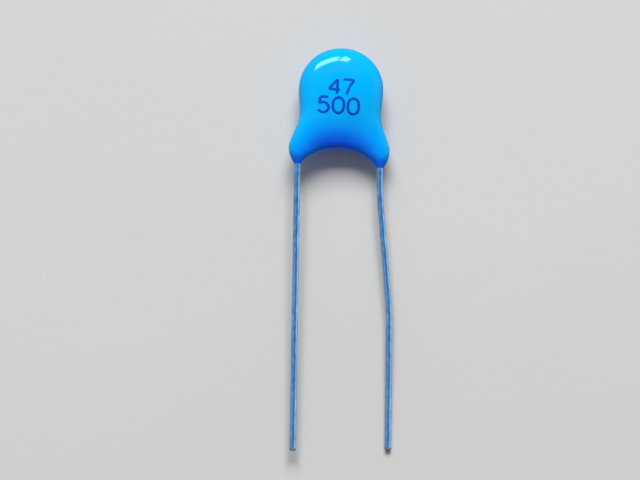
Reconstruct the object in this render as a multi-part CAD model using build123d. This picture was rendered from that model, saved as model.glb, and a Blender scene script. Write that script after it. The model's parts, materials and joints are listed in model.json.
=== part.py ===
from build123d import *
import os
from math import asin, atan2, cos, degrees, radians, sin, tan

# A radial ceramic disc capacitor, lying on its back with its two wires towards -Y.
# A silvered ceramic disc has a wire soldered across each face, and the whole element is dipped
# in epoxy, which runs a little way down both wires. Lengths are in millimetres, angles in degrees.
# The pieces are made about the middle of the ceramic, with its axis along Z and its front face up.
# The back of the element is its front turned half a turn about Y. At the end the part is moved to
# stand on Z = 0, with its box centred on X and Y.
# A drop is a distance from the ceramic's middle towards the wire tips. A size that ends in below
# is measured the same way, but from the ceramic's lower edge.

# Ceramic disc and its silver films
ceramic_diameter = 6.0
ceramic_thickness = 1.2
film_margin = 0.4
film_thickness = 0.02

# Wires inside the coat: a slanted run across the ceramic's face, a shoulder at its edge and a knee
wire_diameter = 0.58
lead_pitch = 7.5
lead_step = 0.6
wire_slant = 24.5
wire_reach = 4.2
shoulder_rise = 0.4
shoulder_radius = 4.0
knee_below = 3.15
knee_radius = 2.0

# Free wires: places along them are measured from the ends of the epoxy sleeves
front_length = 26.15
front_bend_past = 1.5
front_bend_radius = 25.0
front_tip_inset = 0.43
front_tip_lift = 1.0
back_length = 25.6
back_bend_past = 1.9
back_bend_radius = 30.0
back_kink_past = 13.15
back_kink_spread = 1.2
back_kink_radius = 25.0
back_tip_spread = 1.39

# Solder mounds
solder_film = 0.05
solder_cover = 0.22
solder_side = 0.46
solder_length = 2.8
solder_corner = 0.3
solder_taper = 25.0
solder_stub = 0.25

# Epoxy coat: round the disc, but centred a little above it, where the wet epoxy gathered,
# then in at the waist, out to the legs, and thin at the web's ends
coat_lift = 0.11
rim_skin = 0.915
face_skin = 0.53
waist_drop = 2.45
waist_inset = 0.19
leg_below = 2.75
leg_flare = 0.92
leg_thickness = 2.0
web_end_below = 3.9
web_end_flare = 0.4
web_end_thickness = 0.6

# Arch between the legs: an arc that rises from wire to wire, with a rolled edge that leaves
# the coat's faces at a small turn
arch_below = 2.6
arch_rise = 1.44
brow_lift = 0.08
brow_turn = 15.0

# Epoxy drawn out along each wire: a bulb in the leg that thins to a sleeve
bulb_diameter = 1.48
bulb_below = 2.95
bulb_depth = 0.5
sleeve_length = 0.45
sleeve_skin = 0.03

# Fullness of the coat's curves: 0.55 is an ellipse, and more is squarer
disc_fullness_share = 0.69
leg_fullness_share = 0.9
arch_fullness_share = 0.6

# Depth of the arch's rolled edge as a share of half the coat's thickness there
roll_share = 1.6

# Number of sections in each stretch of the coat and round the arch
stretch_sections = 4
arch_sections = 9

# How far cutters reach past what they cut, and how often a search is halved
overrun = 0.2
search_halvings = 20

# Worked out from the sizes above
ceramic_radius = ceramic_diameter / 2
half_ceramic = ceramic_thickness / 2
film_radius = ceramic_radius - film_margin
film_face = half_ceramic + film_thickness
wire_radius = wire_diameter / 2
half_pitch = lead_pitch / 2
wire_level = film_face + solder_film + wire_radius
exit_level = lead_step / 2
solder_width = wire_diameter + 2 * solder_side
solder_height = solder_film + wire_diameter + solder_cover
coat_radius = ceramic_radius + rim_skin
half_coat = film_face + solder_height + face_skin
table_level = -half_coat
leg_drop = ceramic_radius + leg_below
arch_radius = (half_pitch * half_pitch + arch_rise * arch_rise) / (2 * arch_rise)
arch_middle_drop = ceramic_radius + arch_below + arch_radius
web_end_drop = ceramic_radius + web_end_below
sleeve_drop = web_end_drop + sleeve_length
bulb_drop = ceramic_radius + bulb_below
knee_drop = ceramic_radius + knee_below
shoulder_drop = ceramic_radius - shoulder_rise
shoulder_offset = half_pitch - (knee_drop - shoulder_drop) * tan(radians(wire_slant))
leg_twist = degrees(atan2(exit_level, half_pitch))

# Half sizes of the coat's sections at the drops where they level out
half_width_stops = (
    (0, coat_radius),
    (waist_drop, coat_radius - waist_inset),
    (leg_drop, half_pitch + leg_flare),
    (web_end_drop, half_pitch + web_end_flare),
)
half_thickness_stops = (
    (0, half_coat),
    (leg_drop, leg_thickness / 2),
    (web_end_drop, web_end_thickness / 2),
)
fullness_stops = ((0, disc_fullness_share), (leg_drop, leg_fullness_share))
twist_stops = ((0, 0), (leg_drop, leg_twist))


def at_drop(drop, stops):
    """The value at a drop, passing smoothly from each stop to the next and level at every stop."""
    for (first_drop, first), (last_drop, last) in zip(stops, stops[1:]):
        if drop <= last_drop:
            share = max(drop - first_drop, 0) / (last_drop - first_drop)
            return first + (last - first) * share * share * (3 - 2 * share)
    return stops[-1][1]


def to_back(piece):
    """The like piece on the back of the element."""
    return Rot(0, 180, 0) * piece


def ceramic_disc():
    """The pressed and fired disc."""
    return Cylinder(ceramic_radius, ceramic_thickness)


def front_electrode():
    """The silver film on the front face."""
    return Pos(0, 0, half_ceramic + film_thickness / 2) * Cylinder(film_radius, film_thickness)


def front_wire_start():
    """The first corners of the front wire's path: its inner end, shoulder, knee."""
    shoulder = Vector(-shoulder_offset, -shoulder_drop, wire_level)
    inner_end = shoulder + wire_direction() * wire_reach
    knee = Vector(-half_pitch, -knee_drop, exit_level)
    return [inner_end, shoulder, knee]


def wire_direction():
    """The way the front wire points as it crosses the ceramic's face."""
    return Vector(sin(radians(wire_slant)), cos(radians(wire_slant)), 0)


def lead(corners, radii):
    """A round wire along straight runs that are joined by bends."""
    path = FilletPolyline(*corners, radius=[shoulder_radius, knee_radius, *radii])
    return sweep(Plane(path @ 0, z_dir=path % 0) * Circle(wire_radius), path)


def front_lead():
    """The front wire, which drifts inwards and ends clear of the table."""
    tip_level = table_level + front_tip_lift + wire_radius
    bend = Vector(-half_pitch, -sleeve_drop - front_bend_past, exit_level)
    tip = Vector(-half_pitch + front_tip_inset, -sleeve_drop - front_length, tip_level)
    return lead([*front_wire_start(), bend, tip], [front_bend_radius])


def back_lead():
    """The back wire, which bends outwards, straightens at a kink and ends on the table."""
    start = [Vector(-corner.X, corner.Y, -corner.Z) for corner in front_wire_start()]
    tip_level = table_level + wire_radius
    kink_share = (back_kink_past - back_bend_past) / (back_length - back_bend_past)
    kink_level = -exit_level + (tip_level + exit_level) * kink_share
    bend = Vector(half_pitch, -sleeve_drop - back_bend_past, -exit_level)
    kink = Vector(half_pitch + back_kink_spread, -sleeve_drop - back_kink_past, kink_level)
    tip = Vector(half_pitch + back_tip_spread, -sleeve_drop - back_length, tip_level)
    return lead([*start, bend, kink, tip], [back_bend_radius, back_kink_radius])


def front_solder(wire):
    """A tapered mound of solder on the front film, with the front wire running through it."""
    base = chamfer(Rectangle(solder_length, solder_width).vertices(), solder_corner)
    mound = extrude(base, solder_height, taper=solder_taper)
    setback = solder_length / 2 + solder_stub
    middle = front_wire_start()[0] - wire_direction() * setback
    return Pos(middle.X, middle.Y, film_face) * Rot(0, 0, 90 - wire_slant) * mound - wire


def coat_quarter(drop, side, face):
    """A quarter of the coat's section at a drop, from its rim to its crown."""
    across = side * at_drop(drop, half_width_stops)
    up = face * at_drop(drop, half_thickness_stops)
    fullness = at_drop(drop, fullness_stops)
    return Bezier((across, 0), (across, up * fullness), (across * fullness, up), (0, up))


def coat_section(drop):
    """The coat's section at a drop, turned so that its legs follow the step between the wires."""
    corners = ((1, 1), (-1, 1), (-1, -1), (1, -1))
    outline = Wire([coat_quarter(drop, side, face) for side, face in corners])
    twist = Rot(0, at_drop(drop, twist_stops), 0)
    return twist * Pos(0, -drop, 0) * (Plane.XZ * Face(outline))


def coat_height(place):
    """Half the coat's thickness at a place, before the arch is cut and without the twist."""
    rim_to_crown = coat_quarter(min(-place.Y, web_end_drop), 1, 1)
    low, high = 0, 1
    for _ in range(search_halvings):
        middle = (low + high) / 2
        if (rim_to_crown @ middle).X > abs(place.X):
            low = middle
        else:
            high = middle
    return (rim_to_crown @ low).Y


def coat_round_disc():
    """The coat round the upper half of the disc: half a turn of the widest section."""
    quarters = [coat_quarter(-coat_lift, 1, face) for face in (1, -1)]
    section = Face(Wire([*quarters, Line((0, half_coat), (0, -half_coat))]))
    return Pos(0, coat_lift, 0) * revolve(Plane.XZ * section, Axis.Z, revolution_arc=180)


def coat_web():
    """The coat from its widest section to the legs, before the arch is cut."""
    drops = [-coat_lift, 0]
    for (first_drop, _), (last_drop, _) in zip(half_width_stops, half_width_stops[1:]):
        step = (last_drop - first_drop) / stretch_sections
        drops += [first_drop + step * count for count in range(1, stretch_sections + 1)]
    return loft([coat_section(drop) for drop in drops])


def arch_roll_section(turn):
    """What the rolled edge takes off at one place round the arch: a nose that runs into both faces."""
    outward = Vector(sin(turn), cos(turn))
    place = Vector(0, -arch_middle_drop) + outward * arch_radius
    roll = roll_share * max(coat_height(place), web_end_thickness / 2)
    brow_place = place + outward * roll
    height = max(coat_height(brow_place), web_end_thickness / 2) + brow_lift
    face_slope = (coat_height(brow_place + outward * overrun) + brow_lift - height) / overrun
    reach = roll * arch_fullness_share
    brow = height - (face_slope + tan(radians(brow_turn))) * reach
    lift = height * arch_fullness_share
    front = Bezier((roll, height), (roll - reach, brow), (0, lift), (0, 0))
    back = Bezier((0, 0), (0, -lift), (roll - reach, -brow), (roll, -height))
    top = (roll, half_coat)
    inner_top = (-overrun, half_coat)
    bottom = (roll, -half_coat)
    inner_bottom = (-overrun, -half_coat)
    sides = Polyline(back @ 1, bottom, inner_bottom, inner_top, top, front @ 0)
    frame = Plane(place, x_dir=outward, z_dir=outward.cross(Vector(0, 0, 1)))
    twist = Rot(0, at_drop(-brow_place.Y, twist_stops), 0)
    return twist * (frame * Face(Wire([front, back, *sides.edges()])))


def arch_cutter():
    """The space of the arch and the corners that its rolled edge takes off."""
    last_turn = asin(half_pitch / arch_radius)
    shares = [count / (arch_sections - 1) for count in range(arch_sections)]
    corners = loft([arch_roll_section(last_turn * (2 * share - 1)) for share in shares])
    drum = Pos(0, -arch_middle_drop, 0) * Cylinder(arch_radius - overrun / 2, 2 * half_coat)
    return corners + Rot(0, leg_twist, 0) * drum


def front_bulb():
    """The epoxy drawn out along the front wire."""
    bulb_radius = bulb_diameter / 2
    top = bulb_depth - bulb_drop
    sleeve_end = (wire_radius + sleeve_skin, -sleeve_drop)
    corners = [(0, top), (bulb_radius, top), (bulb_radius, -bulb_drop), sleeve_end, (0, -sleeve_drop)]
    return Pos(-half_pitch, 0, exit_level) * revolve(make_face(Polyline(*corners, close=True)), Axis.Y)


def coating(inner_pieces):
    """The dipped coat, hollow where the element and the wires are."""
    bulb = front_bulb()
    coat = coat_round_disc() + (coat_web() - arch_cutter()) + bulb + to_back(bulb)
    return coat - inner_pieces


def element():
    """All the pieces, named, about the middle of the ceramic."""
    front_wire = front_lead()
    solder = front_solder(front_wire)
    film = front_electrode()
    pieces = {
        "ceramic_disc": ceramic_disc(),
        "front_electrode": film,
        "back_electrode": to_back(film),
        "front_solder": solder,
        "back_solder": to_back(solder),
        "front_lead": front_wire,
        "back_lead": back_lead(),
    }
    pieces["coating"] = coating(list(pieces.values()))
    return pieces


def stand(pieces):
    """The same pieces, moved to stand on Z = 0 with their box centred on X and Y."""
    box = Compound(list(pieces.values())).bounding_box()
    move = Pos(-box.center().X, -box.center().Y, -box.min.Z)
    return {name: move * piece for name, piece in pieces.items()}


os.makedirs("parts", exist_ok=True)
for node, piece in stand(element()).items():
    export_step(piece, f"parts/{node}.step")
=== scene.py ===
import json
import math

import bmesh
import bpy
import numpy as np
from bpy.props import FloatProperty, FloatVectorProperty, IntProperty, PointerProperty, StringProperty
from mathutils import Matrix, Quaternion, Vector
from mathutils.bvhtree import BVHTree


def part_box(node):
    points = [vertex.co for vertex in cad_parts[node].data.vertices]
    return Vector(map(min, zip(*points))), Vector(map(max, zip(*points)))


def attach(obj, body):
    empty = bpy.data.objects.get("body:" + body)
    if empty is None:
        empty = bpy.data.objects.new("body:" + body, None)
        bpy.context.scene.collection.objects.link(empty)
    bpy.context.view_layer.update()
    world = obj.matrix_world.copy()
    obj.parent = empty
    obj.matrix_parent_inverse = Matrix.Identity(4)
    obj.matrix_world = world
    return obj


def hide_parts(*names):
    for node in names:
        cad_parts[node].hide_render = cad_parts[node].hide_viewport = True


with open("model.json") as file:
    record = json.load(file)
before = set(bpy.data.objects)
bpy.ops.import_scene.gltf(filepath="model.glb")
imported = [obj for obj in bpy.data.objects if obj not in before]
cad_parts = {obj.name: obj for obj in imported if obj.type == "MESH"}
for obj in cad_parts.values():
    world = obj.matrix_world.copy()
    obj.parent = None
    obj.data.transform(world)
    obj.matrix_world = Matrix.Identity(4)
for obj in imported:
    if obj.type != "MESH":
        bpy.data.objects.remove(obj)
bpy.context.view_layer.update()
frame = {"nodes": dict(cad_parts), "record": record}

bl_info = {
    "name": "Ceramic disc capacitor",
    "version": (1, 0, 0),
    "blender": (4, 5, 0),
    "location": "3D View > Sidebar > Capacitor",
    "description": "Gives a ceramic disc capacitor its dipped coat, tinned wires, print and studio",
    "category": "Object",
}

MM = 0.001
DISC_LOW, DISC_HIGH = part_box("ceramic_disc")
DISC_MIDDLE = (DISC_LOW + DISC_HIGH) / 2
WIRES = ("front_lead", "back_lead")
INNER_NODES = (
    "ceramic_disc",
    "front_electrode",
    "back_electrode",
    "front_solder",
    "back_solder",
    *WIRES,
)
JOIN_DISTANCE = 0.0005 * MM  # corners of a CAD mesh nearer than this are one

# Finishes: most of a noise lies between these two values, and the patterns have this much detail
NOISE_LOW, NOISE_HIGH = 0.3, 0.7
PATCH_DETAIL, GRAIN_DETAIL = 2.0, 4.0

# Coat: how far roughness rises above its least, how much of the tint the patches change, the share
# of the ends' reach where their painted shade (the deep blue) begins to pass, and the levelling left at the
# very ends
GLOSS_SPREAD = 0.08
PATCH_SHARE = 0.16
ENDS_SHADE_START = 0.12
HELD_FLOW = 0.06

# Wires: the share of its thickness that a wire has at its very tips, and the corners of a side face
TIP_SCALE = 0.78
SIDE_CORNERS = 4

# Print, as shares of a stroke's width: the steps along a stroke, how close its unevenness lies,
# the least width and what unevenness adds to it, and the width at a stroke's very tip
PEN_STEP = 0.12
PEN_NOISE = 1.2
PEN_LEAST, PEN_SPREAD = 0.75, 0.5
PEN_TIP = 0.05
PEN_SIDES = 14  # faces round a stroke
DROP_HEIGHT, DROP_LENGTH = 0.02, 0.05  # where the ink falls from, in metres, and how far it may

# Lamps: azimuth and elevation in degrees, then distance, width and height in metres
KEY_LAMP = (-2, 49, 0.9, 0.6, 0.5)
PANES = {
    "wide_pane": (-23, 34.5, 0.6, 0.33, 0.14),
    "small_pane": (5, 37, 0.6, 0.075, 0.16),
}
PANE_ROLL = -15

# World: the tint of the soft light; where the strip of sky changes colour from left to right, its
# middle along Y and how far from there it passes into the room; where the room passes into the table
DAYLIGHT = (0.93, 0.96, 1.0)
STRIP_STOPS = (0.17, 0.47, 0.85, 0.94)
STRIP_MIDDLE = 0.26
STRIP_INNER, STRIP_OUTER = 0.14, 0.34
HORIZON_HIGH, HORIZON_LOW = 0.05, -0.25

# Pen strokes of the printed figures, as shares of a figure's width and height
FIGURE_STROKES = {
    "0": [
        [(0.5, 1), (0.84, 0.85), (0.95, 0.5), (0.84, 0.15)]
        + [(0.5, 0), (0.16, 0.15), (0.05, 0.5), (0.16, 0.85)],
    ],
    "1": [[(0.25, 0.8), (0.55, 1)], [(0.55, 1), (0.55, 0)]],
    "2": [
        [(0.05, 0.76), (0.2, 0.95), (0.5, 1), (0.82, 0.92), (0.93, 0.7), (0.75, 0.43), (0.05, 0)],
        [(0.05, 0), (0.97, 0)],
    ],
    "3": [
        [(0.08, 0.86), (0.3, 0.99), (0.62, 0.98), (0.88, 0.78), (0.72, 0.57), (0.4, 0.52)],
        [(0.4, 0.52), (0.75, 0.48), (0.95, 0.26), (0.75, 0.04), (0.4, 0), (0.04, 0.15)],
    ],
    "4": [[(0.72, 0), (0.72, 1)], [(0.72, 1), (0.03, 0.3)], [(0.03, 0.3), (0.97, 0.3)]],
    "5": [
        [(0.88, 1), (0.2, 1)],
        [(0.2, 1), (0.13, 0.55)],
        [(0.13, 0.55), (0.35, 0.64), (0.68, 0.6), (0.93, 0.36), (0.8, 0.09), (0.45, 0), (0.04, 0.14)],
    ],
    "6": [
        [(0.8, 0.96), (0.42, 0.86), (0.15, 0.55), (0.06, 0.28)],
        [(0.5, 0), (0.82, 0.08), (0.94, 0.3), (0.8, 0.52)]
        + [(0.5, 0.59), (0.18, 0.5), (0.06, 0.28), (0.2, 0.07)],
    ],
    "7": [[(0.05, 1), (0.95, 1)], [(0.95, 1), (0.62, 0.55), (0.4, 0)]],
    "8": [
        [(0.5, 1), (0.82, 0.92), (0.84, 0.66), (0.5, 0.54), (0.16, 0.66), (0.18, 0.92)],
        [(0.5, 0.54), (0.86, 0.43), (0.92, 0.12), (0.5, 0), (0.08, 0.12), (0.14, 0.43)],
    ],
    "9": [
        [(0.5, 1), (0.82, 0.92), (0.94, 0.7), (0.8, 0.48)]
        + [(0.5, 0.41), (0.18, 0.5), (0.06, 0.7), (0.2, 0.93)],
        [(0.94, 0.7), (0.85, 0.4), (0.58, 0.14), (0.2, 0.04)],
    ],
}
CLOSED_STROKES = (("0", 0), ("6", 1), ("8", 0), ("8", 1), ("9", 0))


def length(name, description, default):
    """A property that holds a length."""
    return FloatProperty(name=name, description=description, default=default, unit="LENGTH", precision=6)


def angle(name, description, default):
    """A property that holds an angle, given here in degrees."""
    return FloatProperty(name=name, description=description, default=math.radians(default), subtype="ANGLE")


def share(name, description, default):
    """A property that holds a share from 0 to 1."""
    return FloatProperty(name=name, description=description, default=default, subtype="FACTOR", min=0, max=1)


def colour(name, description, default):
    """A property that holds a colour."""
    return FloatVectorProperty(
        name=name, description=description, default=default, subtype="COLOR", min=0, max=1
    )


class CoatSettings(bpy.types.PropertyGroup):
    """Sizes and colours of the dipped epoxy coat."""

    mesh_size: length("Mesh size", "Size of the faces that the coat is made of", 0.085 * MM)
    flow_passes: IntProperty(name="Flow passes", description="How often the wet epoxy levels out", default=32)
    grip: length("Grip", "How far from the coat's ends the wires hold the wet epoxy in place", 0.9 * MM)
    foot_height: length("Foot height", "How far from the coat's ends its feet are fuller", 1.75 * MM)
    foot_fullness: length("Foot fullness", "How far the wet epoxy stands out on the feet", 0.15 * MM)
    wave_depth: length("Wave depth", "How deep the slow waves in the dried coat are", 0.035 * MM)
    wave_length: length("Wave length", "Distance between the slow waves", 2.6 * MM)
    seed: IntProperty(name="Seed", description="Which pattern of waves the coat has", default=7)
    light_blue: colour("Light blue", "Colour of most of the coat", (0.0, 0.46, 1.0))
    # painted shade: the deep blue and the four sizes below darken the arch and the coat's ends, which face
    # away from the light, as shade does
    shade_blue: colour("Deep blue", "Colour of the arch and the ends, where shading gathers", (0.0, 0.12, 1.0))
    shade_middle: length("Deep middle", "From the disc's middle down to the middle of the deep blue", 8.0 * MM)
    shade_radius: length("Deep radius", "How far from its middle the deep blue begins to pass", 2.3 * MM)
    shade_reach: length("Deep reach", "Over what distance the deep blue passes", 3.7 * MM)
    ends_shade_reach: length("Ends reach", "How far the deep blue climbs from the coat's ends", 1.85 * MM)
    gloss: share("Least roughness", "Roughness of the coat where it is smoothest", 0.05)
    shine: share("Shine", "How strongly the coat mirrors what stands round it", 0.25)


class WireSettings(bpy.types.PropertyGroup):
    """Sizes and colours of the tinned wires."""

    sides: IntProperty(name="Sides", description="Number of faces round a wire", default=40)
    step: length("Step", "Length of the faces along a wire", 0.12 * MM)
    tip_round: length("Tip rounding", "How far the cut tips are rounded", 0.06 * MM)
    ripple: length("Ripple", "How uneven the tin on the wire is", 0.011 * MM)
    ripple_length: length("Ripple length", "Distance between the ripples in the tin", 0.7 * MM)
    seed: IntProperty(name="Seed", description="Which pattern of ripples the tin has", default=3)
    bright_tin: colour("Bright tin", "Colour of the clean tin", (0.76, 0.82, 0.9))
    dull_tin: colour("Dull tin", "Colour of the tin where it has dulled", (0.4, 0.5, 0.64))
    cut_metal: colour("Cut metal", "Colour of the bare metal at a cut tip", (0.42, 0.4, 0.42))


class PrintSettings(bpy.types.PropertyGroup):
    """Figures, sizes and colour of the print on the front face."""

    upper: StringProperty(name="Upper figures", description="Figures in the upper row", default="47")
    lower: StringProperty(name="Lower figures", description="Figures in the lower row", default="500")
    upper_height: length("Upper height", "Height of the upper figures", 1.42 * MM)
    lower_height: length("Lower height", "Height of the lower figures", 1.4 * MM)
    upper_width: length("Upper width", "Width of an upper figure", 1.12 * MM)
    lower_width: length("Lower width", "Width of a lower figure", 1.12 * MM)
    upper_gap: length("Upper gap", "Space between two upper figures", 0.12 * MM)
    lower_gap: length("Lower gap", "Space between two lower figures", 0.24 * MM)
    upper_across: length(
        "Upper row across", "Middle of the upper row to the right of the disc's middle", 0.03 * MM
    )
    upper_along: length("Upper row along", "Middle of the upper row above the disc's middle", -0.26 * MM)
    lower_across: length(
        "Lower row across", "Middle of the lower row to the right of the disc's middle", -0.2 * MM
    )
    lower_along: length("Lower row along", "Middle of the lower row above the disc's middle", -1.96 * MM)
    tilt: angle("Tilt", "How far the rows lean to the right", 2.5)
    stroke: length("Stroke", "Width of a pen stroke", 0.25 * MM)
    ink_height: length("Ink height", "How far the ink stands above the coat", 0.012 * MM)
    seed: IntProperty(name="Seed", description="Which pattern of unevenness the strokes have", default=11)
    ink: colour("Ink", "Colour of the ink", (0.0, 0.08, 0.68))
    shine: share("Shine", "How strongly the ink mirrors what stands round it", 0.15)


class StageSettings(bpy.types.PropertyGroup):
    """Floor, light and camera."""

    floor: colour("Floor", "Colour of the floor", (0.63, 0.615, 0.6))
    floor_size: length("Floor size", "Width of the floor", 3.0)
    key_power: FloatProperty(
        name="Key power", description="Power of the soft lamp", default=10.2, unit="POWER"
    )
    window_power: FloatProperty(
        name="Window power", description="Power of a square metre of window", default=90.0
    )
    window: colour("Window", "Colour of the sky in the window panes", (0.4, 0.85, 1.0))
    sky: FloatProperty(name="Sky", description="Strength of the light from the horizon", default=0.33)
    ceiling: FloatProperty(name="Ceiling", description="Strength of the light from above", default=0.18)
    left_wall: colour("Left wall", "What shiny faces mirror on the left", (0.2, 0.375, 0.64))
    roof: colour("Roof", "What shiny faces mirror overhead", (0.06, 0.22, 0.5))
    right_wall: colour("Right wall", "What shiny faces mirror on the right", (0.46, 0.76, 1.0))
    room: colour("Room", "What shiny faces mirror before and behind the strip of sky", (0.21, 0.32, 0.42))
    table: colour("Table", "What shiny faces mirror below", (0.12, 0.12, 0.13))
    lens: FloatProperty(
        name="Lens", description="Focal length of the camera", default=155.55, unit="CAMERA"
    )
    distance: length("Distance", "From the camera to what it looks at", 0.25)
    elevation: angle("Elevation", "Height of the camera above the table", 75.0)
    azimuth: angle("Azimuth", "How far the camera stands to the right", 1.8)
    aim_across: length(
        "Aim across", "What the camera looks at, to the right of the disc's middle", -1.935 * MM
    )
    aim_along: length("Aim along", "What the camera looks at, above the disc's middle", -14.19 * MM)


def add_node(tree, kind, inputs=None, **settings):
    """A node with its settings and inputs; an input is a value or a socket to link from."""
    node = tree.nodes.new(kind)
    for name, value in settings.items():
        setattr(node, name, value)
    for name, value in (inputs or {}).items():
        if isinstance(value, bpy.types.NodeSocket):
            tree.links.new(value, node.inputs[name])
        else:
            node.inputs[name].default_value = value
    return node


def math_node(tree, operation, *values, clamp=False):
    """The result of a Math node on some values or sockets."""
    inputs = dict(enumerate(values))
    return add_node(tree, "ShaderNodeMath", inputs, operation=operation, use_clamp=clamp).outputs[0]


def vector_node(tree, operation, *values):
    """The result of a Vector Math node on some values or sockets."""
    return add_node(tree, "ShaderNodeVectorMath", dict(enumerate(values)), operation=operation).outputs[0]


def smooth_step(tree, value, low, high, start=0.0, end=1.0):
    """A value that passes smoothly from start to end while another goes from low to high."""
    inputs = {"Value": value, "From Min": low, "From Max": high, "To Min": start, "To Max": end}
    return add_node(tree, "ShaderNodeMapRange", inputs, interpolation_type="SMOOTHSTEP").outputs[0]


def mix_colour(tree, factor, first, second):
    """A colour that passes from one to another by a factor."""
    inputs = {"Factor": factor, 6: first, 7: second}
    return add_node(tree, "ShaderNodeMix", inputs, data_type="RGBA").outputs[2]


def shaded(tint, factor):
    """A colour made darker or lighter."""
    return [channel * factor for channel in tint]


def geometry_tree(name, sizes):
    """A geometry tree with named inputs, its input sockets and the socket of its result."""
    tree = bpy.data.node_groups.new(name, "GeometryNodeTree")
    tree.interface.new_socket("Geometry", in_out="INPUT", socket_type="NodeSocketGeometry")
    for label, kind in sizes.items():
        tree.interface.new_socket(label, in_out="INPUT", socket_type=f"NodeSocket{kind}")
    tree.interface.new_socket("Geometry", in_out="OUTPUT", socket_type="NodeSocketGeometry")
    start = tree.nodes.new("NodeGroupInput")
    end = tree.nodes.new("NodeGroupOutput")
    return tree, start.outputs, end.inputs["Geometry"]


def end_tree(tree, geometry, material, result):
    """Shades the shape smooth, makes it real and gives it its material."""
    smooth = add_node(tree, "GeometryNodeSetShadeSmooth", {"Geometry": geometry})
    real = add_node(tree, "GeometryNodeRealizeInstances", {"Geometry": smooth.outputs[0]})
    dressed = add_node(tree, "GeometryNodeSetMaterial", {"Geometry": real.outputs[0], "Material": material})
    tree.links.new(dressed.outputs[0], result)


def apply_tree(piece, tree, values):
    """Runs a geometry tree on a piece and keeps the result as its plain mesh."""
    modifier = piece.modifiers.new(tree.name, "NODES")
    modifier.node_group = tree
    for item in tree.interface.items_tree:
        if item.in_out == "INPUT" and item.name in values:
            modifier[item.identifier] = values[item.name]
    apply_modifiers(piece)


def apply_modifiers(piece):
    """Keeps what the modifiers make of a piece as its plain mesh."""
    evaluated = piece.evaluated_get(bpy.context.evaluated_depsgraph_get())
    mesh = bpy.data.meshes.new_from_object(evaluated)
    old = piece.data
    piece.modifiers.clear()
    piece.data = mesh
    bpy.data.meshes.remove(old)
    if not mesh.polygons:
        raise RuntimeError(f"{piece.name} came out empty")


def new_piece(name, mesh):
    """An object at the origin with this mesh."""
    piece = bpy.data.objects.new(name, mesh)
    bpy.context.scene.collection.objects.link(piece)
    return piece


def uneven_finish():
    """The shader group of slow patches and fine grain that all the finishes share."""
    name = "Uneven finish"
    if name in bpy.data.node_groups:
        return bpy.data.node_groups[name]
    tree = bpy.data.node_groups.new(name, "ShaderNodeTree")
    tree.interface.new_socket("Vector", in_out="INPUT", socket_type="NodeSocketVector")
    for label in ("Patch Scale", "Grain Scale"):
        tree.interface.new_socket(label, in_out="INPUT", socket_type="NodeSocketFloat")
    for label in ("Patches", "Grain"):
        tree.interface.new_socket(label, in_out="OUTPUT", socket_type="NodeSocketFloat")
    start = tree.nodes.new("NodeGroupInput").outputs
    end = tree.nodes.new("NodeGroupOutput")
    patterns = (("Patches", "Patch Scale", PATCH_DETAIL), ("Grain", "Grain Scale", GRAIN_DETAIL))
    for label, scale, detail in patterns:
        noise = add_node(
            tree,
            "ShaderNodeTexNoise",
            {"Vector": start["Vector"], "Scale": start[scale], "Detail": detail},
        )
        spread = add_node(
            tree,
            "ShaderNodeMapRange",
            {"Value": noise.outputs["Fac"], "From Min": NOISE_LOW, "From Max": NOISE_HIGH},
        )
        tree.links.new(spread.outputs[0], end.inputs[label])
    return tree


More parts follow.
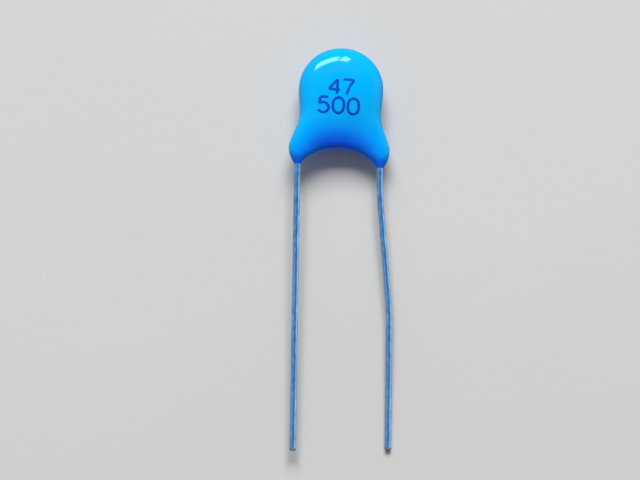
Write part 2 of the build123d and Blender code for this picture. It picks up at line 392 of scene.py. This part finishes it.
def finish(
    name,
    low,
    high,
    roughness,
    patch,
    grain,
    relief,
    metallic=0.0,
    shine=None,
    coordinates=None,
    stretch=1.0,
    drift=None,
):
    """A material whose colour and roughness drift in patches and whose relief is a fine grain.

    low and high are the colours and roughness holds the least and the most; patch and grain are
    the sizes of the patterns, and relief is the height of the grain. shine is the specular level,
    where it isn't the usual one. coordinates names the attribute that the patterns follow, where
    they don't follow the object's own coordinates, and stretch draws them out along it. drift holds
    the painted shade: how far below the disc's middle the first colour lies, its radius and the
    distance over which it passes into the second, then the level along Y where the first colour
    begins again and how far it climbs from there, with the patches as a lesser change. There the
    first colour stands in for the shade where the surface faces away from the light."""
    material = bpy.data.materials.new(name)
    material.use_nodes = True
    tree = material.node_tree
    shader = tree.nodes["Principled BSDF"]
    if coordinates:
        place = add_node(tree, "ShaderNodeAttribute", attribute_name=coordinates).outputs["Vector"]
        place = vector_node(tree, "MULTIPLY", place, (1.0, 1.0, 1.0 / stretch))
    else:
        place = add_node(tree, "ShaderNodeTexCoord").outputs["Object"]
    scales = {"Vector": place, "Patch Scale": 1 / patch, "Grain Scale": 1 / grain}
    effect = add_node(tree, "ShaderNodeGroup", scales, node_tree=uneven_finish())
    change = effect.outputs["Patches"]
    # painted shade: the first colour darkens the arch and the coat's ends, which face away from the light
    if drift:
        below, radius, reach, ends, climb = drift
        away = vector_node(tree, "SUBTRACT", place, (DISC_MIDDLE.x, DISC_MIDDLE.y - below, 0.0))
        level = vector_node(tree, "MULTIPLY", away, (1.0, 1.0, 0.0))
        far = add_node(tree, "ShaderNodeVectorMath", {0: level}, operation="LENGTH").outputs["Value"]
        clear_of_arch_shade = smooth_step(tree, far, radius, radius + reach)
        along = add_node(tree, "ShaderNodeSeparateXYZ", {0: place}).outputs["Y"]
        clear_of_ends_shade = smooth_step(tree, along, ends + ENDS_SHADE_START * climb, ends + climb)
        least = math_node(tree, "MINIMUM", clear_of_arch_shade, clear_of_ends_shade)
        lesser = math_node(tree, "MULTIPLY_ADD", change, PATCH_SHARE, -PATCH_SHARE / 2)
        change = math_node(tree, "ADD", least, lesser, clamp=True)
    tint = mix_colour(tree, change, (*low, 1.0), (*high, 1.0))
    tree.links.new(tint, shader.inputs["Base Color"])
    both = math_node(tree, "ADD", effect.outputs["Grain"], effect.outputs["Patches"])
    blend = math_node(tree, "DIVIDE", both, 2.0)
    spread = add_node(
        tree,
        "ShaderNodeMapRange",
        {"Value": blend, "To Min": roughness[0], "To Max": roughness[1]},
    )
    tree.links.new(spread.outputs[0], shader.inputs["Roughness"])
    bump = add_node(
        tree,
        "ShaderNodeBump",
        {"Height": effect.outputs["Grain"], "Strength": 1.0, "Distance": relief},
    )
    tree.links.new(bump.outputs[0], shader.inputs["Normal"])
    shader.inputs["Metallic"].default_value = metallic
    if shine is not None:
        shader.inputs["Specular IOR Level"].default_value = shine
    return material


def merged_copy(name):
    """A bmesh copy of a CAD node with its loose triangles joined."""
    copy = bmesh.new()
    copy.from_mesh(frame["nodes"][name].data)
    bmesh.ops.remove_doubles(copy, verts=copy.verts, dist=JOIN_DISTANCE)
    return copy


def outer_shell(skin):
    """The outside of the coat alone, closed where the wires leave it."""
    shell = merged_copy("coating")
    trees = []
    for name in INNER_NODES:
        inner = merged_copy(name)
        trees.append(BVHTree.FromBMesh(inner))
        inner.free()
    hidden = []
    for face in shell.faces:
        middle = face.calc_center_median()
        if any(tree.find_nearest(middle, skin)[0] for tree in trees):
            hidden.append(face)
    bmesh.ops.delete(shell, geom=hidden, context="FACES")
    rims = [edge for edge in shell.edges if edge.is_boundary]
    bmesh.ops.edgeloop_fill(shell, edges=rims)
    bmesh.ops.triangulate(shell, faces=shell.faces)
    return shell


def dip_tree():
    """Levels the wet epoxy out, then adds fuller feet and the slow waves that it dries with."""
    tree, start, result = geometry_tree(
        "Dipped coat",
        {
            "Flow Passes": "Int",
            "Ends": "Float",
            "Grip": "Float",
            "Foot Height": "Float",
            "Foot Fullness": "Float",
            "Wave Depth": "Float",
            "Wave Length": "Float",
            "Seed": "Int",
            "Material": "Material",
        },
    )
    place = add_node(tree, "GeometryNodeInputPosition").outputs[0]
    level = add_node(tree, "GeometryNodeBlurAttribute", data_type="FLOAT_VECTOR")
    values = [socket for socket in level.inputs if socket.enabled and socket.name == "Value"]
    tree.links.new(place, values[0])
    tree.links.new(start["Flow Passes"], level.inputs["Iterations"])
    along = add_node(tree, "ShaderNodeSeparateXYZ", {0: place}).outputs["Y"]
    past_ends = math_node(tree, "SUBTRACT", along, start["Ends"])
    tree.links.new(smooth_step(tree, past_ends, 0.0, start["Grip"], HELD_FLOW), level.inputs["Weight"])
    levelled = next(socket for socket in level.outputs if socket.enabled)
    flowed = add_node(tree, "GeometryNodeSetPosition", {"Geometry": start["Geometry"], "Position": levelled})
    waves = add_node(
        tree,
        "ShaderNodeTexNoise",
        {
            "Vector": place,
            "W": start["Seed"],
            "Scale": math_node(tree, "DIVIDE", 1.0, start["Wave Length"]),
            "Detail": 1.0,
        },
        noise_dimensions="4D",
    )
    up_foot = math_node(tree, "DIVIDE", past_ends, start["Foot Height"], clamp=True)
    swell = math_node(tree, "SINE", math_node(tree, "MULTIPLY", up_foot, math.pi))
    fuller = math_node(tree, "MULTIPLY", math_node(tree, "MULTIPLY", swell, swell), start["Foot Fullness"])
    depth = math_node(tree, "MULTIPLY", waves.outputs["Fac"], start["Wave Depth"])
    height = math_node(tree, "SUBTRACT", fuller, depth)
    normal = add_node(tree, "GeometryNodeInputNormal").outputs["Normal"]
    offset = add_node(tree, "ShaderNodeVectorMath", {0: normal, "Scale": height}, operation="SCALE")
    waved = add_node(
        tree,
        "GeometryNodeSetPosition",
        {"Geometry": flowed.outputs[0], "Offset": offset.outputs[0]},
    )
    end_tree(tree, waved.outputs[0], start["Material"], result)
    return tree


class CAPACITOR_OT_coat(bpy.types.Operator):
    """Makes the dipped epoxy coat from the outside of the CAD coat"""

    bl_idname = "capacitor.coat"
    bl_label = "Dipped coat"

    def execute(self, context):
        settings = context.scene.capacitor_coat
        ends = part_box("coating")[0].y
        shell = outer_shell(skin=0.025 * MM)
        mesh = bpy.data.meshes.new("dipped_coat")
        shell.to_mesh(mesh)
        shell.free()
        piece = new_piece("dipped_coat", mesh)
        mesh.transform(Matrix.Scale(1 / MM, 4))
        remesh = piece.modifiers.new("Even faces", "REMESH")
        remesh.mode = "VOXEL"
        remesh.voxel_size = settings.mesh_size / MM
        apply_modifiers(piece)
        piece.data.transform(Matrix.Scale(MM, 4))
        material = finish(
            "blue_epoxy",
            settings.shade_blue,
            settings.light_blue,
            roughness=(settings.gloss, settings.gloss + GLOSS_SPREAD),
            patch=3.1 * MM,
            grain=0.55 * MM,
            relief=0.0016 * MM,
            shine=settings.shine,
            # painted shade: the deep blue darkens the arch and the coat's ends, which face away from the
            # light
            drift=(
                settings.shade_middle,
                settings.shade_radius,
                settings.shade_reach,
                ends,
                settings.ends_shade_reach,
            ),
        )
        values = {
            "Flow Passes": settings.flow_passes,
            "Ends": ends,
            "Grip": settings.grip,
            "Foot Height": settings.foot_height,
            "Foot Fullness": settings.foot_fullness,
            "Wave Depth": settings.wave_depth,
            "Wave Length": settings.wave_length,
            "Seed": settings.seed,
            "Material": material,
        }
        apply_tree(piece, dip_tree(), values)
        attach(piece, "root")
        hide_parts("coating")
        return {"FINISHED"}


def section_middle(corners, level):
    """The middle of the section that the plane at a level along Y cuts from some triangles."""
    heights = corners[:, :, 1] - level
    ends = []
    for first, second in ((0, 1), (1, 2), (2, 0)):
        crossing = heights[:, first] * heights[:, second] < 0
        part = heights[crossing, first] / (heights[crossing, first] - heights[crossing, second])
        points = np.full((len(corners), 3), np.nan)
        points[crossing] = corners[crossing, first] + part[:, None] * (
            corners[crossing, second] - corners[crossing, first]
        )
        ends.append(points)
    ends = np.stack(ends, 1)
    cut = np.isfinite(ends[:, :, 0]).sum(1) == 2
    pairs = np.array([row[np.isfinite(row[:, 0])] for row in ends[cut]])
    weights = np.linalg.norm(pairs[:, 0] - pairs[:, 1], axis=1)
    return Vector(np.average(pairs.mean(1), axis=0, weights=weights))


def wire_route(node, step):
    """The middle line of a CAD wire, from its outer tip to its inner end."""
    copy = merged_copy(node)
    corners = np.array([[vertex.co for vertex in face.verts] for face in copy.faces])
    copy.free()
    low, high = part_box(node)
    outer_skip = 0.05 * MM
    inner_skip = 0.4 * MM
    left_off = 0.3  # share of each skipped stretch that the line doesn't reach again
    count = round((high.y - inner_skip - low.y - outer_skip) / step)
    levels = np.linspace(low.y + outer_skip, high.y - inner_skip, count + 1)
    route = [section_middle(corners, level) for level in levels]
    outer_way = route[0] - route[1]
    inner_way = route[-1] - route[-2]
    outer_level = low.y + left_off * outer_skip
    inner_level = high.y - left_off * inner_skip
    outer_end = route[0] + outer_way * ((outer_level - route[0].y) / outer_way.y)
    inner_end = route[-1] + inner_way * ((inner_level - route[-1].y) / inner_way.y)
    return [outer_end, *route, inner_end]


def line_mesh(name, lines):
    """A mesh of edges along some lines; a line is its points and whether it is closed."""
    points = []
    edges = []
    for line, closed in lines:
        first = len(points)
        points += line
        edges += [(first + count, first + count + 1) for count in range(len(line) - 1)]
        if closed:
            edges.append((len(points) - 1, first))
    mesh = bpy.data.meshes.new(name)
    mesh.from_pydata(points, edges, [])
    return mesh


def round_ends(tree, reach):
    """A scale along a line that is full in the middle and rounds off at both ends."""
    parameter = add_node(tree, "GeometryNodeSplineParameter").outputs["Length"]
    whole = add_node(tree, "GeometryNodeSplineLength").outputs["Length"]
    nearest = math_node(tree, "MINIMUM", parameter, math_node(tree, "SUBTRACT", whole, parameter))
    past = math_node(tree, "SUBTRACT", 1.0, math_node(tree, "DIVIDE", nearest, reach), clamp=True)
    return math_node(tree, "SQRT", math_node(tree, "SUBTRACT", 1.0, math_node(tree, "MULTIPLY", past, past)))


def wire_tree():
    """A tinned wire along a line: even steps, rounded cut tips, ripples in the tin."""
    tree, start, result = geometry_tree(
        "Tinned wire",
        {
            "Radius": "Float",
            "Sides": "Int",
            "Step": "Float",
            "Tip Round": "Float",
            "Ripple": "Float",
            "Ripple Length": "Float",
            "Seed": "Int",
            "Tin": "Material",
            "Cut": "Material",
        },
    )
    line = add_node(tree, "GeometryNodeMeshToCurve", {"Mesh": start["Geometry"]})
    even = add_node(tree, "GeometryNodeResampleCurve", {"Curve": line.outputs[0]}, mode="LENGTH")
    tree.links.new(start["Step"], even.inputs["Length"])
    along = add_node(tree, "GeometryNodeSplineParameter").outputs["Length"]
    marked = add_node(
        tree,
        "GeometryNodeStoreNamedAttribute",
        {"Geometry": even.outputs[0], "Name": "along", "Value": along},
        data_type="FLOAT",
        domain="POINT",
    )
    ring = add_node(
        tree,
        "GeometryNodeCurvePrimitiveCircle",
        {"Resolution": start["Sides"], "Radius": start["Radius"]},
        mode="RADIUS",
    )
    place = add_node(tree, "GeometryNodeInputPosition").outputs[0]
    ring_marked = add_node(
        tree,
        "GeometryNodeStoreNamedAttribute",
        {"Geometry": ring.outputs[0], "Name": "round", "Value": place},
        data_type="FLOAT_VECTOR",
        domain="POINT",
    )
    nearness = round_ends(tree, start["Tip Round"])
    scale = math_node(tree, "MULTIPLY_ADD", nearness, 1 - TIP_SCALE, TIP_SCALE)
    tube = add_node(
        tree,
        "GeometryNodeCurveToMesh",
        {
            "Curve": marked.outputs[0],
            "Profile Curve": ring_marked.outputs[0],
            "Scale": scale,
            "Fill Caps": True,
        },
    )
    far = add_node(tree, "GeometryNodeInputNamedAttribute", {"Name": "along"}, data_type="FLOAT").outputs[0]
    turn = add_node(tree, "GeometryNodeInputNamedAttribute", {"Name": "round"}, data_type="FLOAT_VECTOR")
    parts = add_node(tree, "ShaderNodeSeparateXYZ", {0: turn.outputs[0]})
    straight = add_node(tree, "ShaderNodeCombineXYZ", {0: parts.outputs[0], 1: parts.outputs[1], 2: far})
    mapped = add_node(
        tree,
        "GeometryNodeStoreNamedAttribute",
        {"Geometry": tube.outputs[0], "Name": "wire", "Value": straight.outputs[0]},
        data_type="FLOAT_VECTOR",
        domain="POINT",
    )
    noise = add_node(
        tree,
        "ShaderNodeTexNoise",
        {
            "Vector": straight.outputs[0],
            "W": start["Seed"],
            "Scale": math_node(tree, "DIVIDE", 1.0, start["Ripple Length"]),
            "Detail": 1.0,
        },
        noise_dimensions="4D",
    )
    depth = math_node(tree, "MULTIPLY", noise.outputs["Fac"], start["Ripple"])
    height = math_node(tree, "MULTIPLY", depth, -1.0)
    normal = add_node(tree, "GeometryNodeInputNormal").outputs["Normal"]
    offset = add_node(tree, "ShaderNodeVectorMath", {0: normal, "Scale": height}, operation="SCALE")
    rippled = add_node(
        tree,
        "GeometryNodeSetPosition",
        {"Geometry": mapped.outputs[0], "Offset": offset.outputs[0]},
    )
    smooth = add_node(tree, "GeometryNodeSetShadeSmooth", {"Geometry": rippled.outputs[0]})
    corners = add_node(tree, "GeometryNodeInputMeshFaceNeighbors").outputs["Vertex Count"]
    is_cap = add_node(
        tree,
        "FunctionNodeCompare",
        {2: corners, 3: SIDE_CORNERS},
        data_type="INT",
        operation="GREATER_THAN",
    )
    flat = add_node(
        tree,
        "GeometryNodeSetShadeSmooth",
        {"Geometry": smooth.outputs[0], "Selection": is_cap.outputs[0], "Shade Smooth": False},
    )
    real = add_node(tree, "GeometryNodeRealizeInstances", {"Geometry": flat.outputs[0]})
    tinned = add_node(
        tree,
        "GeometryNodeSetMaterial",
        {"Geometry": real.outputs[0], "Material": start["Tin"]},
    )
    ended = add_node(
        tree,
        "GeometryNodeSetMaterial",
        {"Geometry": tinned.outputs[0], "Selection": is_cap.outputs[0], "Material": start["Cut"]},
    )
    tree.links.new(ended.outputs[0], result)
    return tree


class CAPACITOR_OT_wires(bpy.types.Operator):
    """Makes both tinned wires along the CAD wires"""

    bl_idname = "capacitor.wires"
    bl_label = "Tinned wires"

    def execute(self, context):
        settings = context.scene.capacitor_wires
        mounts = {mount["name"]: mount for mount in frame["record"]["mounts"]}
        tin = finish(
            "tinned_wire",
            settings.dull_tin,
            settings.bright_tin,
            roughness=(0.12, 0.26),
            patch=0.3 * MM,
            grain=0.06 * MM,
            relief=0.003 * MM,
            metallic=1.0,
            coordinates="wire",
            stretch=2.5,
        )
        cut = finish(
            "cut_wire",
            settings.cut_metal,
            shaded(settings.cut_metal, 1.3),
            roughness=(0.35, 0.55),
            patch=0.2 * MM,
            grain=0.05 * MM,
            relief=0.006 * MM,
            metallic=1.0,
        )
        tree = wire_tree()
        for name in WIRES:
            values = {
                "Radius": mounts[name]["dims"]["r_mm"] * MM,
                "Sides": settings.sides,
                "Step": settings.step,
                "Tip Round": settings.tip_round,
                "Ripple": settings.ripple,
                "Ripple Length": settings.ripple_length,
                "Seed": settings.seed,
                "Tin": tin,
                "Cut": cut,
            }
            route = wire_route(name, step=0.2 * MM)
            piece = new_piece(f"tinned_{name}", line_mesh(name, [(route, False)]))
            apply_tree(piece, tree, values)
            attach(piece, "root")
            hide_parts(name)
        return {"FINISHED"}


def print_lines(settings):
    """The pen strokes of both rows of figures, flat, in the part's own place."""
    rows = (
        (settings.upper, settings.upper_width, settings.upper_height, settings.upper_gap),
        (settings.lower, settings.lower_width, settings.lower_height, settings.lower_gap),
    )
    places = (
        Vector((settings.upper_across, settings.upper_along, 0)),
        Vector((settings.lower_across, settings.lower_along, 0)),
    )
    turn = Matrix.Rotation(-settings.tilt, 3, "Z")
    lines = []
    for (figures, width, height, gap), place_of_row in zip(rows, places):
        pitch = width + gap
        row_middle = DISC_MIDDLE + place_of_row
        for place, figure in enumerate(figures):
            left = (place - len(figures) / 2) * pitch + gap / 2
            for number, stroke in enumerate(FIGURE_STROKES[figure]):
                points = [Vector((left + x * width, (y - 0.5) * height, 0)) for x, y in stroke]
                points = [row_middle + turn @ point for point in points]
                closed = (figure, number) in CLOSED_STROKES
                lines.append(([Vector((point.x, point.y, 0)) for point in points], closed))
    return lines


def print_tree():
    """Pen strokes laid onto the coat as thin ink."""
    tree, start, result = geometry_tree(
        "Printed figures",
        {
            "Coat": "Object",
            "Stroke": "Float",
            "Ink Height": "Float",
            "Seed": "Int",
            "Material": "Material",
        },
    )
    line = add_node(tree, "GeometryNodeMeshToCurve", {"Mesh": start["Geometry"]})
    pen = add_node(tree, "GeometryNodeCurveSplineType", {"Curve": line.outputs[0]}, spline_type="CATMULL_ROM")
    even = add_node(tree, "GeometryNodeResampleCurve", {"Curve": pen.outputs[0]}, mode="LENGTH")
    half = math_node(tree, "MULTIPLY", start["Stroke"], 0.5)
    tree.links.new(math_node(tree, "MULTIPLY", start["Stroke"], PEN_STEP), even.inputs["Length"])
    place = add_node(tree, "GeometryNodeInputPosition").outputs[0]
    noise = add_node(
        tree,
        "ShaderNodeTexNoise",
        {
            "Vector": place,
            "W": start["Seed"],
            "Scale": math_node(tree, "DIVIDE", PEN_NOISE, start["Stroke"]),
            "Detail": 1.0,
        },
        noise_dimensions="4D",
    )
    uneven = math_node(tree, "MULTIPLY_ADD", noise.outputs["Fac"], PEN_SPREAD, PEN_LEAST)
    cyclic = add_node(tree, "GeometryNodeInputSplineCyclic").outputs[0]
    rounded = math_node(tree, "MAXIMUM", round_ends(tree, half), cyclic)
    scale = math_node(tree, "MULTIPLY", uneven, math_node(tree, "MAXIMUM", rounded, PEN_TIP))
    ring = add_node(
        tree,
        "GeometryNodeCurvePrimitiveCircle",
        {"Resolution": PEN_SIDES, "Radius": half},
        mode="RADIUS",
    )
    tube = add_node(
        tree,
        "GeometryNodeCurveToMesh",
        {"Curve": even.outputs[0], "Profile Curve": ring.outputs[0], "Scale": scale, "Fill Caps": True},
    )
    parts = add_node(tree, "ShaderNodeSeparateXYZ", {0: place})
    above = add_node(tree, "ShaderNodeCombineXYZ", {0: parts.outputs[0], 1: parts.outputs[1], 2: DROP_HEIGHT})
    coat = add_node(tree, "GeometryNodeObjectInfo", {"Object": start["Coat"]}, transform_space="ORIGINAL")
    drop = add_node(
        tree,
        "GeometryNodeRaycast",
        {
            "Target Geometry": coat.outputs["Geometry"],
            "Source Position": above.outputs[0],
            "Ray Direction": (0.0, 0.0, -1.0),
            "Ray Length": DROP_LENGTH,
        },
    )
    above_middle = math_node(tree, "DIVIDE", parts.outputs[2], half)
    height = math_node(tree, "MULTIPLY", above_middle, start["Ink Height"])
    lift = add_node(tree, "ShaderNodeVectorMath", {0: (0.0, 0.0, 1.0), "Scale": height}, operation="SCALE")
    laid = vector_node(tree, "ADD", drop.outputs["Hit Position"], lift.outputs[0])
    ink = add_node(tree, "GeometryNodeSetPosition", {"Geometry": tube.outputs[0], "Position": laid})
    end_tree(tree, ink.outputs[0], start["Material"], result)
    return tree


class CAPACITOR_OT_print(bpy.types.Operator):
    """Prints two rows of plain figures on the front of the coat"""

    bl_idname = "capacitor.print"
    bl_label = "Printed figures"

    def execute(self, context):
        settings = context.scene.capacitor_print
        coat = bpy.data.objects.get("dipped_coat")
        if coat is None:
            raise RuntimeError("the coat has to be there before the print")
        material = finish(
            "marking_ink",
            settings.ink,
            shaded(settings.ink, 0.8),
            roughness=(0.3, 0.5),
            patch=0.35 * MM,
            grain=0.06 * MM,
            relief=0.002 * MM,
            shine=settings.shine,
        )
        piece = new_piece("printed_figures", line_mesh("printed_figures", print_lines(settings)))
        values = {
            "Coat": coat,
            "Stroke": settings.stroke,
            "Ink Height": settings.ink_height,
            "Seed": settings.seed,
            "Material": material,
        }
        apply_tree(piece, print_tree(), values)
        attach(piece, "root")
        return {"FINISHED"}


class CAPACITOR_OT_element(bpy.types.Operator):
    """Gives the ceramic, its silver films and the solder inside the coat their finishes"""

    bl_idname = "capacitor.element"
    bl_label = "Inner element"

    def execute(self, context):
        looks = {
            ("ceramic_disc",): finish(
                "ceramic",
                (0.62, 0.5, 0.36),
                (0.72, 0.6, 0.45),
                roughness=(0.55, 0.75),
                patch=1.6 * MM,
                grain=0.12 * MM,
                relief=0.006 * MM,
            ),
            ("front_electrode", "back_electrode"): finish(
                "silver_film",
                (0.78, 0.77, 0.74),
                (0.86, 0.85, 0.83),
                roughness=(0.4, 0.6),
                patch=0.9 * MM,
                grain=0.07 * MM,
                relief=0.003 * MM,
                metallic=1.0,
            ),
            ("front_solder", "back_solder"): finish(
                "solder",
                (0.5, 0.51, 0.53),
                (0.68, 0.69, 0.71),
                roughness=(0.22, 0.45),
                patch=0.6 * MM,
                grain=0.1 * MM,
                relief=0.006 * MM,
                metallic=1.0,
            ),
        }
        for names, material in looks.items():
            for name in names:
                slots = frame["nodes"][name].data.materials
                slots.clear()
                slots.append(material)
        return {"FINISHED"}


def aim(thing, target, roll=0):
    """Turns a lamp or camera to look at a point, rolled by some degrees."""
    turn = (target - thing.location).to_track_quat("-Z", "Y") @ Quaternion((0, 0, 1), math.radians(roll))
    thing.rotation_euler = turn.to_euler()


def from_middle(azimuth, elevation, distance):
    """A place round the part: azimuth from +Y towards +X and elevation above the table, in degrees."""
    level = math.cos(math.radians(elevation)) * distance
    height = math.sin(math.radians(elevation)) * distance
    turn = math.radians(azimuth)
    return DISC_MIDDLE + Vector((math.sin(turn) * level, math.cos(turn) * level, height))


def area_lamp(name, stand, power, roll=0):
    """A soft lamp that faces the part; stand is its azimuth, elevation, distance, width and height."""
    azimuth, elevation, distance, width, height = stand
    lamp = bpy.data.lights.new(name, "AREA")
    lamp.shape = "RECTANGLE"
    lamp.size = width
    lamp.size_y = height
    lamp.energy = power
    thing = bpy.data.objects.new(name, lamp)
    bpy.context.scene.collection.objects.link(thing)
    thing.location = from_middle(azimuth, elevation, distance)
    aim(thing, DISC_MIDDLE, roll)
    return thing


def studio_world(settings):
    """Soft light all round, dimmer from above, and a room with a strip of sky for shiny faces to mirror."""
    world = bpy.data.worlds.new("Studio")
    world.use_nodes = True
    tree = world.node_tree
    back = tree.nodes["Background"]
    way = add_node(tree, "ShaderNodeTexCoord").outputs["Generated"]
    parts = add_node(tree, "ShaderNodeSeparateXYZ", {0: way})
    strength = smooth_step(tree, parts.outputs[2], 0.0, 1.0, settings.sky, settings.ceiling)
    across = add_node(tree, "ShaderNodeMapRange", {"Value": parts.outputs[0], "From Min": -1.0})
    strip = add_node(tree, "ShaderNodeValToRGB", {"Fac": across.outputs[0]})
    ramp = strip.color_ramp.elements
    ramp.remove(ramp[1])
    ramp[0].position = STRIP_STOPS[0]
    for place in STRIP_STOPS[1:]:
        ramp.new(place)
    shades = (settings.left_wall, settings.roof, settings.roof, settings.right_wall)
    for stop, shade in zip(ramp, shades):
        stop.color = (*shade, 1.0)
    off_strip = math_node(tree, "ABSOLUTE", math_node(tree, "SUBTRACT", parts.outputs[1], STRIP_MIDDLE))
    aside = smooth_step(tree, off_strip, STRIP_INNER, STRIP_OUTER)
    below = smooth_step(tree, parts.outputs[2], HORIZON_HIGH, HORIZON_LOW)
    surroundings = mix_colour(tree, below, (*settings.room, 1.0), (*settings.table, 1.0))
    room = mix_colour(tree, aside, strip.outputs["Color"], surroundings)
    mirrored = add_node(tree, "ShaderNodeLightPath").outputs["Is Glossy Ray"]
    plain = vector_node(tree, "MULTIPLY", strength, DAYLIGHT)
    tree.links.new(mix_colour(tree, mirrored, plain, room), back.inputs["Color"])
    return world


class CAPACITOR_OT_stage(bpy.types.Operator):
    """Sets up the floor, the studio light and the camera"""

    bl_idname = "capacitor.stage"
    bl_label = "Stage"

    def execute(self, context):
        settings = context.scene.capacitor_stage
        scene = context.scene
        half = settings.floor_size / 2
        mesh = bpy.data.meshes.new("floor")
        corners = [(-half, -half, 0), (half, -half, 0), (half, half, 0), (-half, half, 0)]
        mesh.from_pydata(corners, [], [(0, 1, 2, 3)])
        floor = new_piece("floor", mesh)
        mesh.materials.append(
            finish(
                "floor",
                settings.floor,
                shaded(settings.floor, 0.97),
                roughness=(0.7, 0.85),
                patch=0.03,
                grain=0.001,
                relief=0.01 * MM,
            )
        )
        floor.visible_glossy = False  # a pale floor would bleach the edges of the wires
        key = area_lamp("key", KEY_LAMP, settings.key_power)
        key.visible_glossy = False
        for name, stand in PANES.items():
            width, height = stand[3:]
            pane = area_lamp(name, stand, settings.window_power * width * height, PANE_ROLL)
            pane.data.color = settings.window
            pane.visible_diffuse = False
        scene.world = studio_world(settings)
        right = Vector((math.cos(settings.azimuth), math.sin(settings.azimuth), 0))
        ahead = Vector((-right.y, right.x, 0))
        target = DISC_MIDDLE + right * settings.aim_across + ahead * settings.aim_along
        level = -ahead * math.cos(settings.elevation)
        camera_data = bpy.data.cameras.new("camera")
        camera_data.lens = settings.lens
        camera_data.clip_start = 0.01
        camera = bpy.data.objects.new("camera", camera_data)
        scene.collection.objects.link(camera)
        camera.location = target + (level + Vector((0, 0, math.sin(settings.elevation)))) * settings.distance
        aim(camera, target)
        scene.camera = camera
        scene.view_settings.view_transform = "Standard"
        return {"FINISHED"}


class CAPACITOR_PT_panel(bpy.types.Panel):
    """Lists the steps and their settings"""

    bl_idname = "CAPACITOR_PT_panel"
    bl_label = "Ceramic disc capacitor"
    bl_space_type = "VIEW_3D"
    bl_region_type = "UI"
    bl_category = "Capacitor"

    def draw(self, context):
        for step, holder in STEPS:
            box = self.layout.box()
            box.operator(step.bl_idname)
            if holder:
                settings = getattr(context.scene, holder)
                for name in type(settings).__annotations__:
                    box.prop(settings, name)


STEPS = (
    (CAPACITOR_OT_coat, "capacitor_coat"),
    (CAPACITOR_OT_wires, "capacitor_wires"),
    (CAPACITOR_OT_print, "capacitor_print"),
    (CAPACITOR_OT_element, ""),
    (CAPACITOR_OT_stage, "capacitor_stage"),
)
SETTINGS = {
    "capacitor_coat": CoatSettings,
    "capacitor_wires": WireSettings,
    "capacitor_print": PrintSettings,
    "capacitor_stage": StageSettings,
}
CLASSES = (*SETTINGS.values(), *(step for step, _ in STEPS), CAPACITOR_PT_panel)


def register():
    """Registers the classes and hangs the settings on the scene."""
    for kind in CLASSES:
        bpy.utils.register_class(kind)
    for holder, kind in SETTINGS.items():
        setattr(bpy.types.Scene, holder, PointerProperty(type=kind))


def unregister():
    """Takes the settings off the scene and unregisters the classes."""
    for holder in SETTINGS:
        delattr(bpy.types.Scene, holder)
    for kind in reversed(CLASSES):
        bpy.utils.unregister_class(kind)


def main():
    """Makes the pieces and the stage in order."""
    register()
    bpy.ops.capacitor.coat()
    bpy.ops.capacitor.wires()
    bpy.ops.capacitor.print()
    bpy.ops.capacitor.element()
    bpy.ops.capacitor.stage()


if __name__ == "__main__":
    main()
